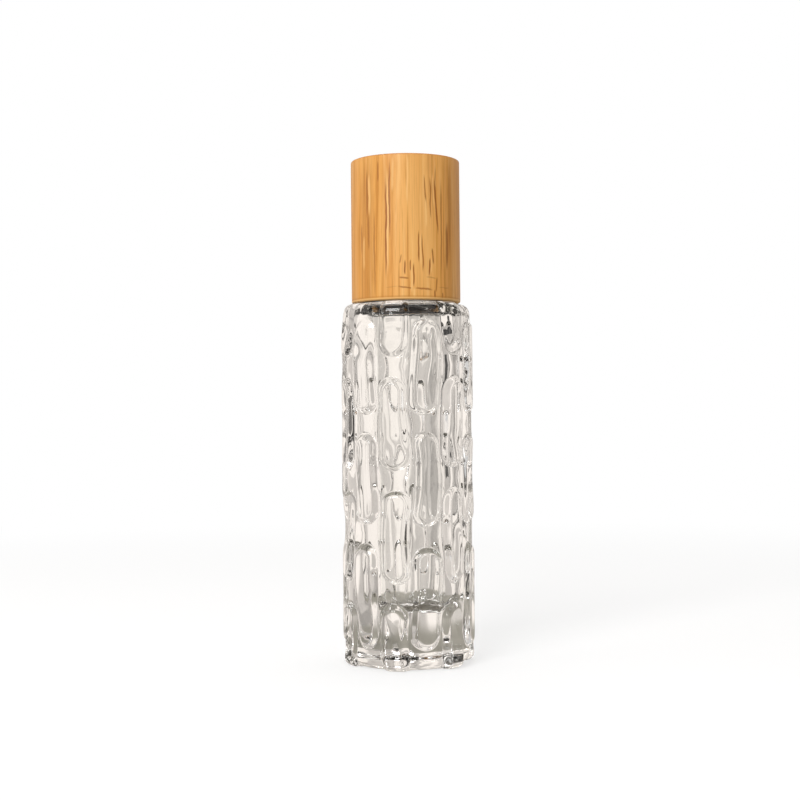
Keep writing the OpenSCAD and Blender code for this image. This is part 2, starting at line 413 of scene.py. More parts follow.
def glass_material(finish):
    """Clear moulded glass with the slight unevenness of a fire-polished surface."""
    material, tree = new_material("clear_glass")
    swell = scaled_noise(tree, (220, 220, 140), detail=1.0)
    look = {
        "Base Color": finish.glass,
        "Roughness": 0.0,
        "IOR": 1.5,
        "Transmission Weight": 1.0,
        "Normal": add(tree, "Bump", {"Height": swell, "Strength": 0.1, "Distance": 0.25 * MM}),
    }
    surface(tree, look)
    return material


# Marks in the bamboo as (mm across to the camera's right, mm above the cap's foot, half width, half length,
# lean in degrees, strength). The level ones are the node of the cane. Negative strengths are light.
MARKS = (
    # Broad bands
    (-6.3, 10, 1.2, 16, 0, 0.28),
    (-3.2, 10, 0.7, 16, 0, 0.12),
    (2.7, 14, 2.4, 16, 0, -0.3),
    (7.2, 10, 1.0, 16, 0, 0.15),
    # Long fibres
    (-3.2, 11.7, 0.2, 8.4, 0.3, 0.9),
    (-2.93, 12.4, 0.17, 8.6, 0.3, -1.0),
    (-2.62, 16.6, 0.18, 6.6, 0.3, 0.85),
    (-2.1, 20.5, 0.2, 3.0, 0, -0.7),
    (0.36, 19.8, 0.16, 4.6, 0, -0.9),
    (5.05, 15.4, 0.17, 4.8, -3.5, 0.9),
    (5.0, 17.6, 0.12, 4.6, -1.0, 0.7),
    (4.1, 16.7, 0.15, 3.6, -1, 0.8),
    (3.25, 17.8, 0.13, 2.8, -3, 0.75),
    (3.35, 14.2, 0.18, 2.6, -2, -1.0),
    (4.6, 18.0, 0.14, 3.0, -2, -0.7),
    (5.9, 12.0, 0.14, 8.0, 0, 0.6),
    (6.85, 9.0, 0.22, 4.2, 0, 0.8),
    (7.3, 15.0, 0.3, 8.0, 0, 0.4),
    (-6.3, 17.6, 0.2, 4.2, 0, 0.65),
    (-5.95, 17.4, 0.16, 3.6, 0, -0.9),
    (-6.1, 11.4, 0.16, 3.2, 0, 0.6),
    (-5.1, 7.4, 0.18, 7.6, 0, 0.55),
    (-4.45, 21.2, 0.16, 1.9, 0, 0.6),
    (-7.3, 10.2, 0.15, 2.8, 0, 0.55),
    (-6.9, 8.0, 0.2, 3.0, 0, -0.6),
    # The node
    (-0.37, 3.5, 0.9, 0.17, 0, 0.75),
    (-0.1, 1.95, 1.35, 0.16, 6, 0.7),
    (2.95, 1.75, 1.5, 0.18, 4, 0.75),
    (4.2, 3.6, 0.85, 0.12, 3, 0.4),
    (-2.4, 2.1, 1.0, 0.1, -3, 0.25),
    (6.3, 2.0, 0.9, 0.12, 0, 0.3),
    # Pores over the node
    (-0.16, 5.2, 0.15, 1.25, 0, 0.95),
    (0.76, 5.6, 0.13, 1.0, 2, 0.85),
    (1.3, 4.0, 0.14, 2.0, 0, 0.95),
    (0.98, 3.3, 0.16, 2.4, 0, -1.0),
    (1.4, 1.0, 0.2, 0.9, 0, -0.9),
    (2.1, 8.7, 0.15, 2.8, 0, 0.9),
    (2.42, 8.0, 0.15, 2.8, 0, -1.0),
    (2.75, 7.6, 0.14, 3.3, -1, 0.85),
    (3.9, 5.3, 0.15, 1.6, 2, 0.95),
    (4.2, 5.6, 0.12, 1.4, 2, -0.8),
    (4.45, 7.1, 0.15, 1.4, -3, 0.85),
    (5.05, 2.5, 0.16, 1.3, 3, 0.7),
    (4.75, 0.8, 0.15, 0.9, 0, 0.8),
    (6.0, 0.5, 0.13, 0.7, 0, 0.7),
    (-0.9, 6.6, 0.12, 0.8, 14, 0.65),
)
# How deep the marks reach into the wood, in mm
MARK_DEPTH = 6


def grain_mark(tree, where, turn, mark):
    """A mark's strength on its middle line and 0 outside it: an ellipsoid in the wood, cut by the surface."""
    across, height, half_w, half_l, lean, strength = mark
    side = Vector((math.cos(turn), math.sin(turn), 0))
    front = Vector((math.sin(turn), -math.cos(turn), 0))
    place = {
        "Vector": where,
        "Location": side * across * MM + front * CAP_HIGH.x + Vector((0, 0, CAP_LOW.z + height * MM)),
        "Rotation": (0, math.radians(lean), turn),
        "Scale": (half_w * MM, MARK_DEPTH * MM, half_l * MM),
    }
    local = add(tree, "Mapping", place, vector_type="TEXTURE")
    # Squared, so that the mark keeps its width up to its ends
    square = add(tree, "VectorMath", {0: local, 1: local}, operation="MULTIPLY")
    away = add(tree, "VectorMath", {0: square}, operation="LENGTH").outputs["Value"]
    return ramp(tree, away, 0.25, 1.1, abs(strength), 0.0)


def bamboo_material(finish, turn):
    """Turned bamboo: light and dark fibres up the axis and a node's marks, under a thin clear lacquer."""
    material, tree = new_material("bamboo")
    broad = scaled_noise(tree, (300, 300, 12))
    fibre = scaled_noise(tree, (1500, 1500, 45), roughness=0.6)
    thread = scaled_noise(tree, (4200, 4200, 150), roughness=0.7)
    dark, pale = finish.bamboo_dark, finish.bamboo_pale

    def lay(tone, shade, factor, start, full, strength):
        """Lays a shade over a tone, more and more as a factor goes from start to full."""
        return mix_colour(tree, ramp(tree, factor, start, full, 0.0, strength), tone, shade)

    tone = lay(finish.bamboo_mid, finish.bamboo_light, broad, 0.38, 0.62, 1.0)
    tone = lay(tone, dark, fibre, 0.55, 0.7, 0.65)
    tone = lay(tone, pale, fibre, 0.42, 0.32, 0.6)
    tone = lay(tone, dark, thread, 0.45, 0.72, 0.35)
    # The marks waver as the fibres do
    where = add(tree, "TexCoord").outputs["Object"]
    wavering = waver(tree, where, scaled_noise(tree, (700, 700, 260)), 0.4 * MM)
    for mark in MARKS:
        shade = finish.bamboo_mark if mark[-1] > 0 else pale
        tone = mix_colour(tree, grain_mark(tree, wavering, turn, mark), tone, shade)
    # The top's edge shows the open ends of the fibres. The foot's edge and underside are laid pale under a
    # dark line: partly sanded bamboo, partly painted light on the underside, which faces down into shade.
    height = add(tree, "SeparateXYZ", {0: where}).outputs["Z"]
    low, high = CAP_LOW.z, CAP_HIGH.z
    tone = lay(tone, dark, height, high - 0.32 * MM, high - 0.12 * MM, 0.75)
    tone = lay(tone, dark, height, low + 0.75 * MM, low + 0.5 * MM, 0.45)
    # Painted light: the pale underside stands in for light that barely reaches under the cap.
    tone = lay(tone, pale, height, low + 0.45 * MM, low + 0.3 * MM, 0.9)
    look = {
        "Base Color": tone,
        "Roughness": ramp(tree, fibre, 0.3, 0.7, 0.42, 0.55),
        "Coat Weight": 0.08,
        "Coat Roughness": 0.3,
        "Normal": add(tree, "Bump", {"Height": fibre, "Strength": 0.2, "Distance": 0.05 * MM}),
    }
    surface(tree, look)
    return material


def plastic_material(name, base, rough, glow):
    """Moulded plastic with a faint orange peel."""
    material, tree = new_material(name)
    peel = scaled_noise(tree, (1800, 1800, 1800))
    cloud = scaled_noise(tree, (300, 300, 300))
    look = {
        "Base Color": mix_colour(tree, ramp(tree, cloud, 0.3, 0.7), base, [c * 0.93 for c in base]),
        "Roughness": ramp(tree, peel, 0.3, 0.7, rough, rough + 0.08),
        "Subsurface Weight": glow,
        "Subsurface Scale": 0.6 * MM,
        "Normal": add(tree, "Bump", {"Height": peel, "Strength": 0.08, "Distance": 0.03 * MM}),
    }
    surface(tree, look)
    return material


def steel_material(finish):
    """Polished stainless steel with faint wiping marks."""
    material, tree = new_material("ball_steel")
    wiping = scaled_noise(tree, (2500, 2500, 500), detail=3.0)
    rough = ramp(tree, wiping, 0.3, 0.7, 0.05, 0.12)
    surface(tree, {"Base Color": finish.steel, "Metallic": 1.0, "Roughness": rough})
    return material


# The glass vial

# Levels in one period of a column, steps over the top of a pad's cell, and rows of a rounding
LEVELS = 40
OVER_STEPS = 8
ROUND_ROWS = 12
# Share of a step by which a level may be missed
SLACK = 1e-6
# Rings of a pad as (share of the width, rise): over its sloping edge, then over its softly domed face.
# The first ring lies just outside the pad and keeps the ground flat up to there.
FLANK = ((-0.07, 0), (0, 0), (0.1, 0.04), (0.2, 0.14), (0.35, 0.33))
FLANK += ((0.5, 0.54), (0.65, 0.73), (0.8, 0.87), (0.9, 0.93), (1, 0.965))
FACE = ((0.92, 0.985), (0.8, 0.995), (0.5, 0.999), (0, 1))
# Noises that make the glass uneven, as (seed, width of a cell, height of a cell)
TURN_SWAY = (0, 8 * MM, 11 * MM)
RISE_SWAY = (50, 8 * MM, 8 * MM)
SETTLE_SWAY = (100, 6 * MM, 9 * MM)
RIPPLE_SWAY = (150, 2.5 * MM, 9 * MM)
HOLLOW_SWAY = (0, 7 * MM, 12 * MM)
# Heights over which the unevenness grows: up from the foot, down from the shoulder and down the hollow
CALM_FOOT = 5 * MM
CALM_SHOULDER = 9 * MM
CALM_HOLLOW = 10 * MM
# The lean of the hollow grows downwards, and reaches its given size a third of the way up
LEAN_GAIN = 1.5
# The thread fades in and out over a turn divided by this, and each of its sides takes this share of its width
THREAD_FADE = 8
THREAD_SIDE = 0.3
# A point this near a plain wall lies on it
ON_WALL = 0.02 * MM


def rounded_radius(radius, low_round, high_round, top, height):
    """Radius of a body with a rounded foot and shoulder, at a height."""
    if height < low_round:
        return radius - low_round + math.sqrt(max(0.0, low_round**2 - (low_round - height) ** 2))
    rise = height - top + high_round
    if rise > 0:
        return radius - high_round + math.sqrt(max(0.0, high_round**2 - rise**2))
    return radius


def pad_rings(s):
    """(half width, end radius, rise) of each outline of a pad from its root inwards."""
    root_r = s.pad_w / 2
    face_r = root_r - s.pad_bevel
    root = s.ground_r * math.asin(root_r / s.ground_r)
    face = s.ground_r * math.asin(face_r / GLASS_HIGH.x)
    rings = [(root + (face - root) * t, root_r - s.pad_bevel * t, rise) for t, rise in FLANK]
    return rings + [(face * share, face_r * share, rise) for share, rise in FACE]


class Strip:
    """One column of pads as patches of the flat pattern, wrapped on the glass as they are made."""

    def __init__(self, s, column):
        self.s = s
        self.turn = column * 2 * math.pi / s.columns
        self.half = s.ground_r * math.pi / s.columns
        self.period = s.pad_len + s.pad_gap
        self.step = self.period / LEVELS
        self.rings = pad_rings(s)
        self.patches = []

    def point(self, across, height, rise):
        """Place on the glass of a point of the flat pattern. Rise is 0 on the ground and 1 on a face."""
        s = self.s
        ground = rounded_radius(s.ground_r, s.foot_round, s.shoulder_round, s.body_h, height)
        face = rounded_radius(GLASS_HIGH.x, s.pad_foot_round, s.shoulder_round, s.body_h, height)
        radius = ground + (face - ground) * rise
        turn = self.turn + across / s.ground_r
        return (radius * math.sin(turn), -radius * math.cos(turn), height)

    def end(self, centre, junction, edge, way):
        """Half-round end of a pad about its centre, in a cell that runs from the junction to its edge."""
        sides = round(abs(edge - junction) / self.step)
        spokes = 2 * sides + OVER_STEPS

        def place(spoke, ring):
            if ring:
                half_w, end_r, rise = self.rings[ring - 1]
                a = math.pi * spoke / spokes
                return self.point(half_w * math.cos(a), centre + way * end_r * math.sin(a), rise)
            if spoke <= sides:
                return self.point(self.half, junction + way * spoke * self.step, 0)
            if spoke <= sides + OVER_STEPS:
                share = (spoke - sides) / OVER_STEPS
                return self.point(self.half * (1 - 2 * share), edge, 0)
            return self.point(-self.half, junction + way * (spokes - spoke) * self.step, 0)

        self.patches.append(patch(spokes, len(self.rings), place))

    def shaft(self, heights, low_centre=None, high_centre=None):
        """Straight part of a pad. Where it meets an end, its inner points stand at the end's centre."""
        half_row = [(self.half, 0)] + [(half_w, rise) for half_w, _, rise in self.rings]
        row_points = half_row + [(-w, rise) for w, rise in reversed(half_row[:-1])]
        inner_heights = [low_centre or heights[0], *heights[1:-1], high_centre or heights[-1]]

        def place(column, row):
            width, rise = row_points[column]
            inner = 0 < column < len(row_points) - 1
            return self.point(width, (inner_heights if inner else heights)[row], rise)

        self.patches.append(patch(len(row_points) - 1, len(heights) - 1, place))

    def plain(self, heights):
        """Bare glass through a list of heights."""

        def place(column, row):
            return self.point(self.half * (1 - 2 * column / OVER_STEPS), heights[row], 0)

        self.patches.append(patch(OVER_STEPS, len(heights) - 1, place))


def column_of_pads(s, column):
    """All patches of one column. An odd column stands half a period higher, over bare glass."""
    strip = Strip(s, column)
    step, period = strip.step, strip.period
    staggered = column % 2
    # The levels of all columns are the same: they run through the middle of each pad
    middle = s.foot_pad_top - s.pad_len / 2
    foot_top = middle - math.floor((middle - s.foot_round) / step) * step
    shoulder_low = middle + (math.floor((s.body_h - s.shoulder_round - middle) / step) + 1) * step
    quarter = [math.pi / 2 * i / ROUND_ROWS for i in range(ROUND_ROWS + 1)]
    foot = [foot_top * (1 - math.cos(a)) for a in quarter]
    shoulder = [shoulder_low + (s.body_h - shoulder_low) * math.sin(a) for a in quarter]

    def near_level(height, rounding=round):
        return middle + rounding((height - middle) / step) * step

    def levels(low, high):
        return [low + i * step for i in range(round((high - low) / step) + 1)]

    if staggered:
        strip.plain(foot)
    top = s.foot_pad_top + staggered * period / 2
    low_edge = foot_top
    while top - s.pad_len < s.body_h:
        extra = s.low_pad_extra if staggered and top < s.foot_pad_top + period else 0
        low_centre = top - s.pad_len - extra + s.pad_w / 2
        high_centre = top - s.pad_w / 2
        high_edge = near_level(min(top + s.pad_gap / 2, shoulder_low))
        if low_centre < foot_top:
            low_centre = None
            low, rows = foot_top, foot[:-1]
        else:
            low, rows = near_level(low_centre, lambda x: math.ceil(x - SLACK)), []
            strip.end(low_centre, low, low_edge, -1)
        if high_centre > shoulder_low:
            strip.shaft(rows + levels(low, shoulder_low)[:-1] + shoulder, low_centre)
        else:
            high = near_level(high_centre, lambda x: math.floor(x + SLACK))
            strip.shaft(rows + levels(low, high), low_centre, high_centre)
            strip.end(high_centre, high, high_edge, 1)
        low_edge = high_edge
        top += period
    if staggered:
        strip.plain(shoulder)
    return strip.patches


def cavity_outline(s, neck):
    """Outline of the hollow, from the bore down to the middle of its floor."""
    bore_r, top_r, mid_r, low_r = neck.bore_r, s.cavity_top_r, s.cavity_mid_r, s.cavity_low_r
    top_z = s.body_h - s.shoulder_wall
    cone_z = top_z + top_r - bore_r
    wide_z = top_z - s.cavity_top_h
    round_z = s.floor_h + s.floor_round
    # The cone runs at 45 degrees between softly flared ends
    flare = 0.6 * MM
    slant = flare * 0.7
    points = straight((bore_r, GLASS_HIGH.z - neck.rim_round), (bore_r, cone_z + flare), 6)
    points += bend((bore_r, cone_z + flare), (bore_r, cone_z), (bore_r + slant, cone_z - slant), 8)
    points += bend((top_r - slant, top_z + slant), (top_r, top_z), (top_r, top_z - flare), 8)
    points += straight((top_r, top_z - 2 * flare), (top_r, wide_z), 3)
    steps = 16
    for i in range(steps + 1):
        z = wide_z - s.cavity_widen_h * i / steps
        points.append((top_r + (mid_r - top_r) * smoothstep(i / steps), z))
    points += straight((mid_r, wide_z - s.cavity_widen_h - MM), (low_r, round_z + MM), 36)
    points += arc(low_r - s.floor_round, round_z, s.floor_round, 0, -90, 12)
    points += straight((low_r - s.floor_round, s.floor_h), (0, s.floor_h), 3)[1:]
    return points + [(0, s.floor_h)]


def neck_outline(s, neck):
    """Outline of the neck, from the shoulder up to the rim and into the bore."""
    r, rim, rim_z = neck.neck_r, neck.rim_round, GLASS_HIGH.z
    bead_z = s.body_h + neck.bead_z
    fillet = 0.4 * MM
    points = [(r + 2 * fillet, s.body_h)]
    points += arc(r + fillet, s.body_h + fillet, fillet, -90, -180, 4)
    points += [(r, bead_z - neck.bead_out)]
    points += arc(r, bead_z + neck.bead_h / 2, neck.bead_out, -80, 80, 8)
    points += [(r, bead_z + neck.bead_h)]
    points += straight((r, s.body_h + neck.thread_low - MM), (r, rim_z - rim), 56)
    points += arc(r - rim, rim_z - rim, rim, 0, 90, 5)
    return points + arc(neck.bore_r + rim / 2, rim_z - rim / 2, rim / 2, 90, 180, 3)


def thread_rise(neck, turn, height, low):
    """How far the screw thread stands out at a place, from 0 to 1. It climbs to the right round the neck."""
    share = turn / (2 * math.pi)
    passes = (height - low) / neck.thread_pitch - share
    nearest = round(passes)
    away = abs(passes - nearest) * neck.thread_pitch
    # The nearest pass of the crest is this many turns along the thread, which fades at its start and end
    along = nearest + share
    fade = smoothstep(along * THREAD_FADE) * smoothstep((neck.thread_turns - along) * THREAD_FADE)
    return fade * smoothstep((neck.thread_w / 2 - away) / (neck.thread_w * THREAD_SIDE))


def raise_thread(piece, neck, radius, low, outwards):
    """Moves the points of a plain wall out or in along a screw thread."""
    for vertex in piece.data.vertices:
        co = vertex.co
        r = math.hypot(co.x, co.y)
        if abs(r - radius) < ON_WALL:
            turn = math.atan2(co.x, -co.y) % (2 * math.pi)
            out = outwards * thread_rise(neck, turn, co.z, low)
            co.x *= (r + out) / r
            co.y *= (r + out) / r


def sway(co, seed, wide, tall):
    """A slow noise at a point, from about -1 to 1."""
    return noise.noise(Vector((co.x / wide, co.y / wide, co.z / tall + seed)))


def uneven(s, co):
    """Place of a point of the outside in set glass: moved a little round, up or down, and in, never out."""
    r = math.hypot(co.x, co.y)
    below = smoothstep((s.body_h - co.z) / CALM_SHOULDER)
    turn = math.atan2(co.x, -co.y) + sway(co, *TURN_SWAY) * s.drift / r
    height = co.z + sway(co, *RISE_SWAY) * s.drift * below * smoothstep(co.z / CALM_FOOT)
    r -= max(0.0, r - s.ground_r) * s.settle * smoothstep(sway(co, *SETTLE_SWAY) * 2)
    r -= s.ripple * smoothstep(0.5 + sway(co, *RIPPLE_SWAY)) * below
    return (r * math.sin(turn), -r * math.cos(turn), height)


def blow(s, co):
    """Moves a point of the hollow in place, as blown glass is: uneven, and leaning off the middle."""
    depth = smoothstep((s.body_h - s.shoulder_wall - co.z) / CALM_HOLLOW)
    if depth and math.hypot(co.x, co.y) > MM:
        swell = sway(co, *HOLLOW_SWAY) * s.waviness
        co += Vector((co.x, co.y, 0)).normalized() * swell * depth
    co.x += s.lean * depth * (1 - co.z / s.body_h) * LEAN_GAIN


def model_vial(s, neck):
    """The moulded glass: two columns of pads repeated round the body, then the neck, hollow and foot."""
    outside = join(column_of_pads(s, 0) + column_of_pads(s, 1), "glass_vial")
    weld(outside, recalculate=False)
    pairs = s.columns // 2
    turn = 2 * math.pi * (pairs - 1) / pairs
    edit_all()
    bpy.ops.mesh.spin(steps=pairs - 1, angle=turn, center=(0, 0, 0), axis=(0, 0, 1), dupli=True)
    bpy.ops.object.mode_set(mode="OBJECT")
    for vertex in outside.data.vertices:
        vertex.co = uneven(s, vertex.co)
    upper = lathe("upper", neck_outline(s, neck) + cavity_outline(s, neck), closed=False)
    raise_thread(upper, neck, neck.neck_r, s.body_h + neck.thread_low, neck.thread_out)
    for vertex in upper.data.vertices:
        blow(s, vertex.co)
    dome = (s.punt_r**2 + s.punt_depth**2) / (2 * s.punt_depth)
    tilt = math.degrees(math.asin(s.punt_r / dome))
    edge = 0.4 * MM
    punt = arc(0, s.punt_depth - dome, dome, 90, 90 - tilt, 8) + [(s.punt_r + edge, 0)]
    lower = lathe("lower", punt, closed=False)
    vial = join([outside, upper, lower], "glass_vial")
    weld(vial, recalculate=False)
    close_ring(vial, s.body_h)
    close_ring(vial, 0)
    weld(vial)
    smooth(vial, 50)
    return vial


# The other pieces

# Ribs round the plug of the housing
PLUG_RIBS = 3
# Bare length of the liner over and under its glue ribs
RIB_END = 1 * MM
# Width of a glue rib's outer face as a share of its root
RIB_TIP = 0.6
# Depth of the liner's thread as a share of the neck's
GROOVE = 0.7


def model_housing(c, neck):
    """The housing: a ribbed plug, a flange on the rim and a collar round the ball's socket."""
    socket = BALL_R + c.ball_play
    plug_r = neck.bore_r - c.plug_gap
    inner_r = plug_r - c.plug_wall
    flange_r = HOUSING_HIGH.x
    plug_z, rim_z, lip_z = HOUSING_LOW.z, GLASS_HIGH.z, HOUSING_HIGH.z
    ceiling = BALL_Z - socket - c.plug_wall
    rib_round, rib_inset, chamfer, edge = 0.25 * MM, 0.17 * MM, 0.1 * MM, 0.2 * MM
    points = [(c.feed_r, ceiling), (inner_r, ceiling), (inner_r, plug_z)]
    points += [(plug_r - c.plug_gap, plug_z), (plug_r, plug_z + c.plug_gap)]
    for i in range(PLUG_RIBS):
        rib_z = plug_z + (i + 1) * (rim_z - plug_z) / (PLUG_RIBS + 1)
        points += arc(plug_r - rib_inset, rib_z, rib_round, -45, 45, 4)
    points += [(plug_r, rim_z), (flange_r - chamfer, rim_z), (flange_r, rim_z + chamfer)]
    points += arc(flange_r - edge, rim_z + c.flange_t - edge, edge, 0, 90, 4)
    points += arc(c.collar_r + edge, rim_z + c.flange_t + edge, edge, -90, -180, 4)
    points += arc(c.collar_r - c.lip_round, lip_z - c.lip_round, c.lip_round, 0, 90, 8)
    lip = math.degrees(math.asin((lip_z - BALL_Z) / socket))
    bottom = -math.degrees(math.acos(c.feed_r / socket))
    points += arc(0, BALL_Z, socket, lip, bottom, 24)
    piece = lathe("ball_housing_moulding", points)
    smooth(piece)
    return piece


def model_ball():
    """The ball: a cube divided and blown up to a sphere, so that it has no poles."""
    piece = fresh(bpy.ops.mesh.primitive_cube_add, size=2)
    piece.name = "steel_ball"
    edit_all()
    bpy.ops.mesh.subdivide(number_cuts=31)
    bpy.ops.transform.tosphere(value=1.0)
    bpy.ops.object.mode_set(mode="OBJECT")
    for vertex in piece.data.vertices:
        vertex.co = vertex.co.normalized() * BALL_R + Vector((0, 0, BALL_Z))
    smooth(piece, 60)
    return piece


def glue_rib(c, turn, outer_r):
    """An upright rib on the liner, rooted in the middle of its wall and narrower outside."""
    rib = fresh(bpy.ops.mesh.primitive_cube_add, size=1)
    depth = c.rib_out + c.liner_wall / 2
    low, tall = LINER_LOW.z + RIB_END, LINER_HIGH.z - LINER_LOW.z - 2 * RIB_END
    for vertex in rib.data.vertices:
        x = outer_r - c.liner_wall / 2 + (vertex.co.x + 0.5) * depth
        y = vertex.co.y * c.rib_w * (1 if vertex.co.x < 0 else RIB_TIP)
        z = low + (vertex.co.z + 0.5) * tall
        vertex.co = (x * math.cos(turn) - y * math.sin(turn), x * math.sin(turn) + y * math.cos(turn), z)
    return rib


def model_liner(c, neck, s):
    """The liner: a cup with a screw thread inside, a ring over the ball and glue ribs outside."""
    outer_r = LINER_HIGH.x - c.rib_out
    bore_r = outer_r - c.liner_wall
    low, high = LINER_LOW.z, LINER_HIGH.z
    ceiling = high - c.liner_top
    ring_in, ring_round = c.ring_r - c.ring_wall, c.ring_wall / 2
    ring_z = BALL_Z + math.sqrt(BALL_R**2 - ring_in**2) + c.ring_gap
    lead, edge = 0.3 * MM, 0.4 * MM
    points = [(0, ceiling), (ring_in, ceiling)]
    points += arc(c.ring_r - ring_round, ring_z + ring_round, ring_round, 180, 360, 8)
    points += [(c.ring_r, ceiling)]
    points += straight((bore_r, ceiling), (bore_r, low + lead), 80)
    points += [(bore_r, low + lead), (bore_r + lead, low), (outer_r, low)]
    points += arc(outer_r - edge, high - edge, edge, 0, 90, 5)
    cup = lathe("screw_liner", points + [(0, high)], closed=False)
    thread_low = s.body_h + neck.thread_low + neck.thread_pitch / 2
    raise_thread(cup, neck, bore_r, thread_low, -neck.thread_out * GROOVE)
    ribs = [glue_rib(c, 2 * math.pi * i / c.ribs, outer_r) for i in range(c.ribs)]
    piece = join([cup] + ribs, "screw_liner")
    smooth(piece, 35)
    return piece


def model_cap(c):
    """The turned bamboo cap, bored for the liner."""
    r, cap_r = c.cap_round, CAP_HIGH.x
    low, high = CAP_LOW.z, CAP_HIGH.z
    bore_r = LINER_HIGH.x + c.glue_gap
    bore_top = LINER_HIGH.z + c.top_gap
    points = [(0, bore_top)]
    points += straight((bore_r, bore_top), (bore_r, low + r / 2), 8)
    points += [(bore_r, low + r / 2), (bore_r + r / 2, low)]
    points += arc(cap_r - r, low + r, r, -90, 0, 6)
    points += straight((cap_r, low + r), (cap_r, high - r), 12)[1:]
    points += arc(cap_r - r, high - r, r, 0, 90, 6)
    points += straight((cap_r - r, high), (0, high), 6)[1:]
    piece = lathe("bamboo_cap", points + [(0, high)], closed=False)
    smooth(piece, 35)
    return piece


# Operators, one for each piece and one for the stage


class ROLLON_OT_glass(bpy.types.Operator):
    """Models the glass vial over its solid."""

    bl_idname = "rollon.glass"
    bl_label = "Glass Vial"

    def execute(self, context):
        scene = context.scene
        piece = model_vial(scene.rollon_glass, scene.rollon_neck)
        finish_piece(piece, "bottle", "glass_bottle", glass_material(scene.rollon_finish))
        return {"FINISHED"}


class ROLLON_OT_housing(bpy.types.Operator):
    """Models the ball housing over its solid."""

    bl_idname = "rollon.housing"
    bl_label = "Ball Housing"

    def execute(self, context):
        scene = context.scene
        piece = model_housing(scene.rollon_cap, scene.rollon_neck)
        material = plastic_material("natural_plastic", scene.rollon_finish.natural, 0.35, 0.3)
        finish_piece(piece, "bottle", "ball_housing", material)
        return {"FINISHED"}


class ROLLON_OT_ball(bpy.types.Operator):
    """Models the steel ball over its solid."""

    bl_idname = "rollon.ball"
    bl_label = "Steel Ball"

    def execute(self, context):
        piece = model_ball()
        finish_piece(piece, "ball", "roller_ball", steel_material(context.scene.rollon_finish))
        return {"FINISHED"}


class ROLLON_OT_liner(bpy.types.Operator):
    """Models the screw liner over its solid."""

    bl_idname = "rollon.liner"
    bl_label = "Screw Liner"

    def execute(self, context):
        scene = context.scene
        piece = model_liner(scene.rollon_cap, scene.rollon_neck, scene.rollon_glass)
        material = plastic_material("black_plastic", scene.rollon_finish.black, 0.3, 0.0)
        finish_piece(piece, "cap", "cap_liner", material)
        return {"FINISHED"}


class ROLLON_OT_cap(bpy.types.Operator):
    """Models the bamboo cap over its solid."""

    bl_idname = "rollon.cap"
    bl_label = "Bamboo Cap"

    def execute(self, context):
        scene = context.scene
        piece = model_cap(scene.rollon_cap)
        material = bamboo_material(scene.rollon_finish, scene.rollon_stage.azimuth)
        finish_piece(piece, "cap", "cap_shell", material)
        return {"FINISHED"}


# The stage

# Side of the floor in metres, and the gap that keeps it out of the glass
FLOOR_SIDE = 8
FLOOR_GAP = 0.02 * MM
# Light that lifts the floor to white and keeps the bottle's shadow
FLOOR_LIFT = 0.54
# Distances from the axis over which the camera's floor turns plain white
WHITE_FLOOR = (0.12, 0.34)
# Distances from the axis over which the glass stops seeing the floor in its painted shadow and sees the tent
TENT_FLOOR = (0.039, 0.060)
# Strength of the tent's light on surfaces without gloss
SOFT_LIGHT = 0.45
# Rays that show the tent and its panels
SEEN_RAYS = ("Is Camera Ray", "Is Glossy Ray", "Is Transmission Ray")
# Flat sides of the tent as (start, end, brightness), in degrees to the camera's right of straight behind the
# bottle. From one side to the next the brightness runs evenly.
TENT = (
    (-172, -130, 1),
    (-124, -106, 0.45),
    (-102, -96, 0.16),
    (-94, -91, 0.02),
    (-88, -34, 1),
    (-30, -16, 0.66),
    (-12, -5, 1),
    (-2, 12, 0.58),
    (14, 18, 0.36),
    (20, 28, 0.58),
    (33, 54, 1),
    (60, 74, 0.5),
    (78, 88, 0.16),
    (90, 93, 0.02),
    (97, 150, 1),
    (158, 176, 0.5),
)
# Dark cards: degrees to the camera's left of straight behind the bottle, then sizes in metres
CARD_TURNS = (-62, 118, -118)
CARD_AWAY = 0.45
CARD_WIDTH = 0.1
CARD_HEIGHT = 0.3
CARD_MIDDLE = 0.02
# Soft lamps as (name, place, side in metres, watts)
LAMPS = (
    ("key", (-0.14, -0.63, 0.45), 0.35, 3.2),
    ("fill", (-0.6, -0.25, 0.25), 0.5, 0.4),
    ("top", (0, 0.1, 0.7), 0.5, 1.2),
)
LAMP_AIM = (0, 0, 45 * MM)
# Width of the camera's sensor in mm
SENSOR = 36


def ray_share(tree, *kinds):
    """1 for rays of the named kinds and 0 for all others."""
    path = add(tree, "LightPath")
    total = path.outputs[kinds[0]]
    for name in kinds[1:]:
        total = add(tree, "Math", {0: total, 1: path.outputs[name]}, operation="MAXIMUM")
    return total


def tent_tone(tree, where, stage):
    """Colour of the tent's side in a direction from the bottle. Its cloth hangs in soft folds."""
    level = add(tree, "VectorMath", {0: where}, operation="NORMALIZE")
    folds = add(tree, "TexNoise", {"Vector": level, "Scale": 5.0, "Detail": 1.0})
    moved = waver(tree, level, folds, stage.folds)
    turned = add(tree, "Mapping", {"Vector": moved, "Rotation": (0, 0, -math.pi / 2 - stage.azimuth)})
    around = add(tree, "TexGradient", {"Vector": turned}, gradient_type="RADIAL")
    sides = add(tree, "ValToRGB", {"Fac": around.outputs["Fac"]})
    stops = sides.color_ramp.elements
    while len(stops) > 1:
        stops.remove(stops[-1])
    ends = [(turn, brightness) for start, end, brightness in TENT for turn in (start, end)]
    for i, (turn, brightness) in enumerate(ends):
        place = 0.5 - turn / 360
        stop = stops.new(place) if i else stops[0]
        stop.position = place
        stop.color = (*(brightness * c for c in stage.cloth), 1)
    return sides


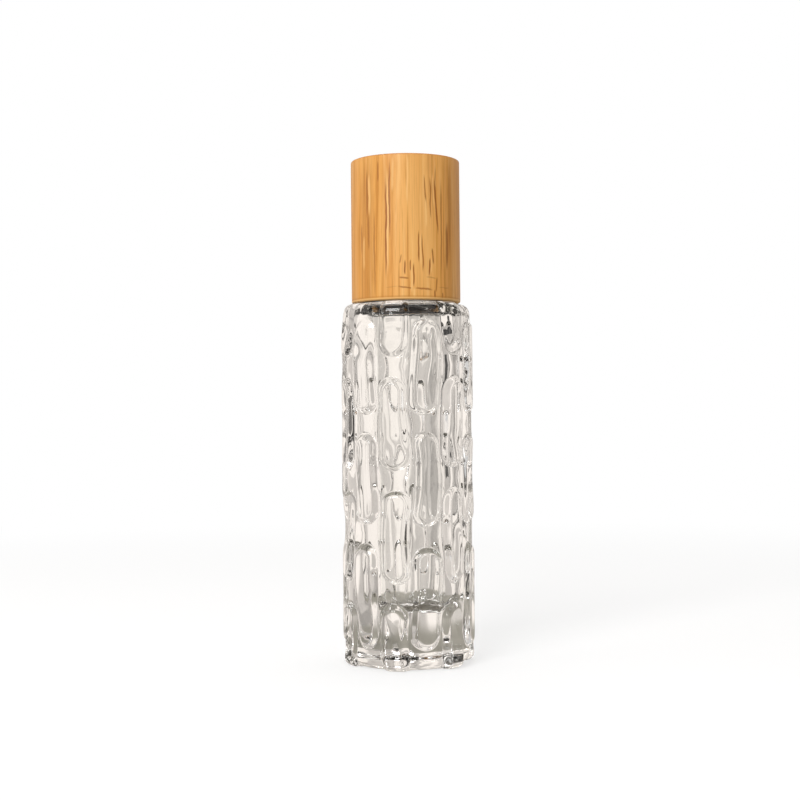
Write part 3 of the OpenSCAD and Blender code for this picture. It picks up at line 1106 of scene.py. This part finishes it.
def make_floor(stage):
    """A grey floor lifted to white. Round the bottle the glass sees it lit in a darker colour, a painted
    shadow, and farther off as the tent.
    """
    floor = fresh(bpy.ops.mesh.primitive_plane_add, size=FLOOR_SIDE, location=(0, 0, -FLOOR_GAP))
    floor.name = "floor"
    material, tree = new_material("floor")
    where = add(tree, "TexCoord").outputs["Object"]
    away = add(tree, "VectorMath", {0: where}, operation="LENGTH").outputs["Value"]
    plain = add(tree, "BsdfDiffuse", {"Color": stage.backdrop})
    lift = add(tree, "Emission", {"Color": WHITE, "Strength": FLOOR_LIFT})
    lifted = add(tree, "AddShader", {0: plain, 1: lift})
    white = add(tree, "Emission", {"Color": WHITE, "Strength": 1.0})
    backdrop = add(tree, "MixShader", {0: ramp(tree, away, *WHITE_FLOOR), 1: lifted, 2: white})
    # Painted shadow: round the foot the glass sees the floor in a darker colour than the camera does.
    painted_foot_shadow = add(tree, "BsdfDiffuse", {"Color": stage.painted_foot_shadow})
    tent = add(tree, "Emission", {"Color": tent_tone(tree, where, stage)})
    through = add(tree, "MixShader", {0: ramp(tree, away, *TENT_FLOOR), 1: painted_foot_shadow, 2: tent})
    seen = add(tree, "MixShader", {0: ray_share(tree, "Is Camera Ray"), 1: through, 2: backdrop})
    shader = add(tree, "MixShader", {0: ray_share(tree, *SEEN_RAYS), 1: plain, 2: seen})
    add(tree, "OutputMaterial", {"Surface": shader})
    floor.data.materials.append(material)


def make_world(scene, stage):
    """A white tent. Glass and gloss see grey panels in it, and diffuse surfaces its soft light."""
    world = bpy.data.worlds.new("studio")
    scene.world = world
    world.use_nodes = True
    tree = world.node_tree
    tree.nodes.clear()
    tone = tent_tone(tree, add(tree, "TexCoord").outputs["Generated"], stage)
    tone = mix_colour(tree, ray_share(tree, "Is Camera Ray"), tone, WHITE)
    soft = add(tree, "Background", {"Color": WHITE, "Strength": SOFT_LIGHT})
    tent = add(tree, "Background", {"Color": tone, "Strength": 1.0})
    mixed = add(tree, "MixShader", {0: ray_share(tree, *SEEN_RAYS), 1: soft, 2: tent})
    add(tree, "OutputWorld", {"Surface": mixed})


def make_lamp(scene, name, place, side, watts):
    """A soft square lamp that looks at the bottle."""
    data = bpy.data.lights.new(name, "AREA")
    data.size = side
    data.energy = watts
    lamp = bpy.data.objects.new(name, data)
    scene.collection.objects.link(lamp)
    lamp.location = place
    lamp.rotation_euler = (Vector(place) - Vector(LAMP_AIM)).to_track_quat("Z", "Y").to_euler()


def make_cards(stage):
    """Dark cards that only gloss and glass see, to draw the edges of the glass as in a light tent."""
    material, tree = new_material("card")
    dark = add(tree, "Emission", {"Color": (0.03, 0.03, 0.03), "Strength": 1.0})
    add(tree, "OutputMaterial", {"Surface": dark})
    for i, turn in enumerate(CARD_TURNS):
        card = fresh(bpy.ops.mesh.primitive_plane_add, size=1)
        card.name = f"card_{i + 1}"
        a = stage.azimuth + math.radians(turn)
        back = Vector((-math.sin(a), math.cos(a), 0))
        side = Vector((math.cos(a), math.sin(a), 0))
        for vertex in card.data.vertices:
            up = Vector((0, 0, CARD_MIDDLE + vertex.co.y * CARD_HEIGHT))
            vertex.co = back * CARD_AWAY + side * vertex.co.x * CARD_WIDTH + up
        card.data.materials.append(material)
        card.visible_camera = False
        card.visible_diffuse = False
        card.visible_shadow = False


def make_camera(scene, stage):
    """The camera: its place, its lens and the lean of its picture."""
    data = bpy.data.cameras.new("camera")
    camera = bpy.data.objects.new("camera", data)
    scene.collection.objects.link(camera)
    scene.camera = camera
    a = stage.azimuth
    camera.location = (math.sin(a) * stage.distance, -math.cos(a) * stage.distance, stage.height)
    middle = stage.picture_px / 2
    left = math.atan((stage.axis_px - middle) / stage.focal_px)
    up = math.atan((stage.horizon_px - middle) / stage.focal_px)
    aim = Euler((math.pi / 2 + up, 0, a + left)).to_matrix()
    camera.rotation_euler = (aim @ Matrix.Rotation(-stage.roll, 3, "Z")).to_euler()
    data.sensor_width = SENSOR
    data.lens = SENSOR * stage.focal_px / stage.picture_px
    data.clip_start = 10 * MM


class ROLLON_OT_stage(bpy.types.Operator):
    """Makes the floor, the white surroundings, the lamps and the camera."""

    bl_idname = "rollon.stage"
    bl_label = "Stage"

    def execute(self, context):
        scene = context.scene
        stage = scene.rollon_stage
        make_floor(stage)
        make_world(scene, stage)
        for lamp in LAMPS:
            make_lamp(scene, *lamp)
        make_cards(stage)
        make_camera(scene, stage)
        scene.view_settings.view_transform = "Standard"
        return {"FINISHED"}


class ROLLON_PT_panel(bpy.types.Panel):
    """Lists the pieces of the bottle in the sidebar."""

    bl_idname = "ROLLON_PT_panel"
    bl_label = "Roll-on Bottle"
    bl_space_type = "VIEW_3D"
    bl_region_type = "UI"
    bl_category = "Roll-on"

    def draw(self, context):
        for operator in OPERATORS:
            self.layout.operator(operator.bl_idname)
        for group in GROUPS:
            for name in group.__annotations__:
                self.layout.prop(getattr(context.scene, GROUPS[group]), name)


OPERATORS = (
    ROLLON_OT_glass,
    ROLLON_OT_housing,
    ROLLON_OT_ball,
    ROLLON_OT_liner,
    ROLLON_OT_cap,
    ROLLON_OT_stage,
)
GROUPS = {
    GlassSizes: "rollon_glass",
    NeckSizes: "rollon_neck",
    CapSizes: "rollon_cap",
    Finish: "rollon_finish",
    StageSizes: "rollon_stage",
}


def register():
    """Registers the classes and puts the sizes on the scene."""
    for group, name in GROUPS.items():
        bpy.utils.register_class(group)
        setattr(bpy.types.Scene, name, PointerProperty(type=group))
    for cls in (*OPERATORS, ROLLON_PT_panel):
        bpy.utils.register_class(cls)


def unregister():
    """Takes the classes and sizes away again."""
    for cls in (ROLLON_PT_panel, *reversed(OPERATORS)):
        bpy.utils.unregister_class(cls)
    for group, name in GROUPS.items():
        delattr(bpy.types.Scene, name)
        bpy.utils.unregister_class(group)


def main():
    """Makes the whole bottle and its stage."""
    register()
    bpy.ops.rollon.glass()
    bpy.ops.rollon.housing()
    bpy.ops.rollon.ball()
    bpy.ops.rollon.liner()
    bpy.ops.rollon.cap()
    bpy.ops.rollon.stage()
    select_nothing()


if __name__ == "__main__":
    main()
